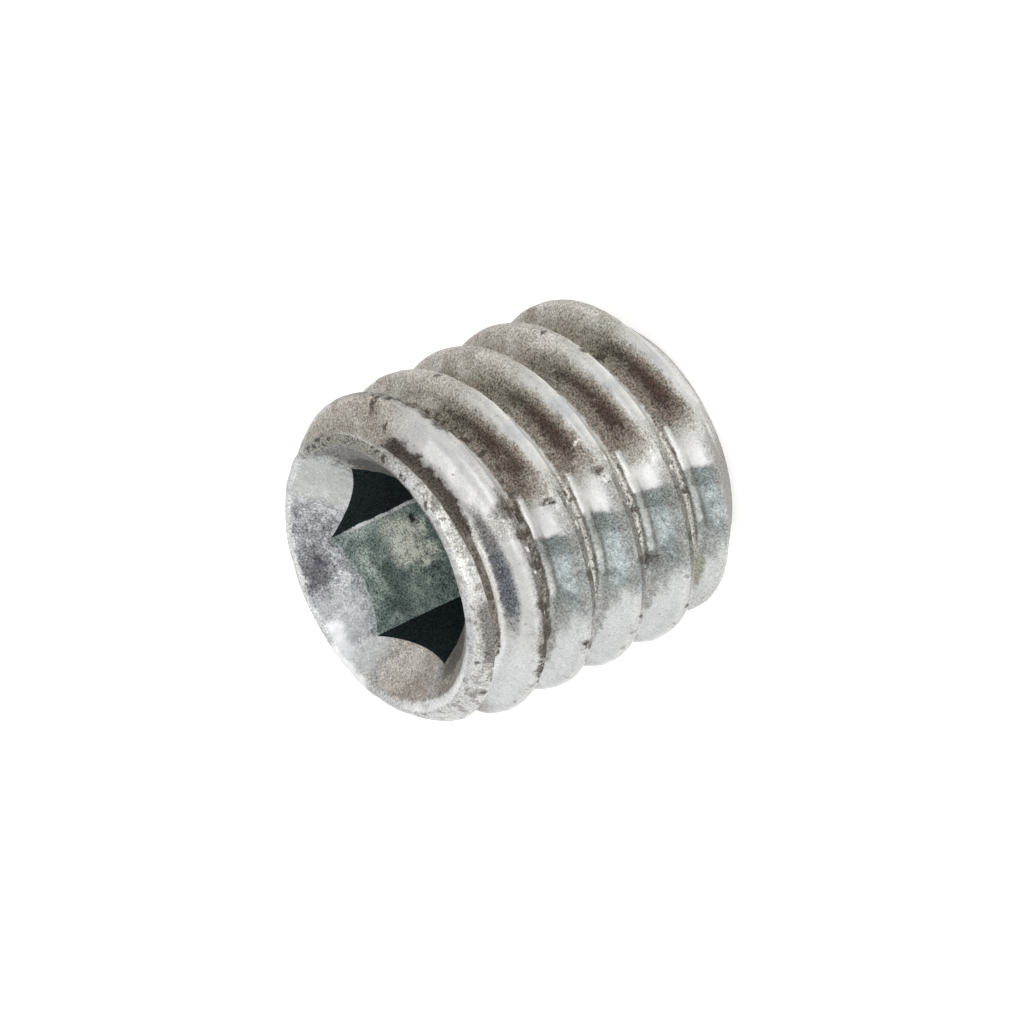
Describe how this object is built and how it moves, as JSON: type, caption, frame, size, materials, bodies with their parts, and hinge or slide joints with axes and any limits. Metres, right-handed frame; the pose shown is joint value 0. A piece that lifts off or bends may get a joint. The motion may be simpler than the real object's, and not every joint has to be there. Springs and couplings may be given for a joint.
{
  "type": "hex socket grub set screw",
  "caption": "Short M4 grub set screw with a hexagon socket, rounded worn thread and a flat chamfered point, in dirty zinc-plated steel.",
  "frame": {"origin": "centre of the flat point, which the screw stands on", "axes": "+Z along the screw's axis, from the flat point to the hexagon socket; one corner of the hexagon lies on +X; the side that faces -Y is the front"},
  "size_m": [0.0038, 0.0038, 0.0038],
  "materials": {
    "zinc_plated_steel": "dull worn bluish zinc plating, speckled, with brown-black grime in the thread and in the socket"
  },
  "bodies": {
    "root": {"set_screw": "zinc_plated_steel"}
  },
  "joints": []
}
